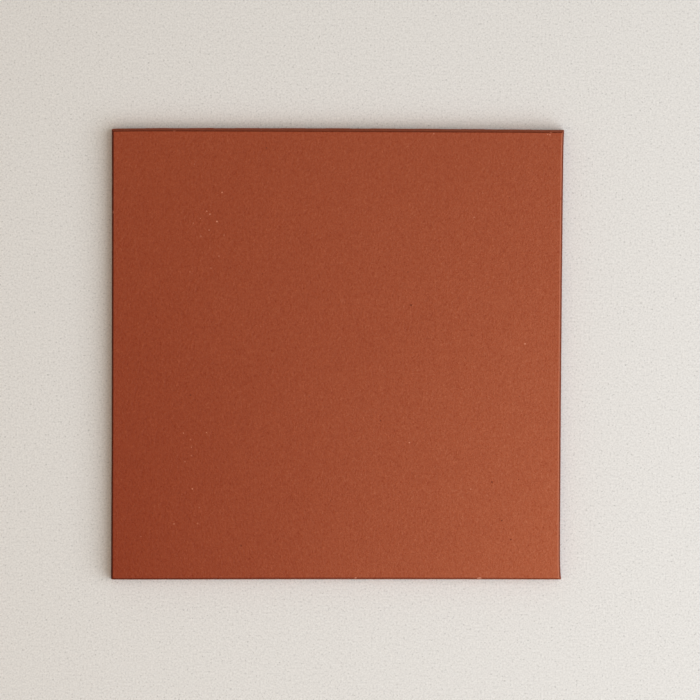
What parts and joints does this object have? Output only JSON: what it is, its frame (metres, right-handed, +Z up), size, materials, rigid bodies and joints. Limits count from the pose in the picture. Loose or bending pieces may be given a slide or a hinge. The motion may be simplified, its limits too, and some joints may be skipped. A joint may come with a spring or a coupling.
{
  "type": "terracotta floor tile",
  "caption": "Square unglazed terracotta floor tile with softened arrises, edges leaning in towards the wear face, and dovetail key grooves in the bedding face that lock into mortar.",
  "frame": {"origin": "middle of the bedding face, on the plane that the tile lies on", "axes": "+Z up out of the wear face, +Y along the key grooves, +X across them"},
  "size_m": [0.2, 0.2, 0.009],
  "materials": {
    "terracotta": "unglazed, satin-matt"
  },
  "bodies": {
    "root": {"terracotta_tile": "terracotta"}
  },
  "joints": []
}
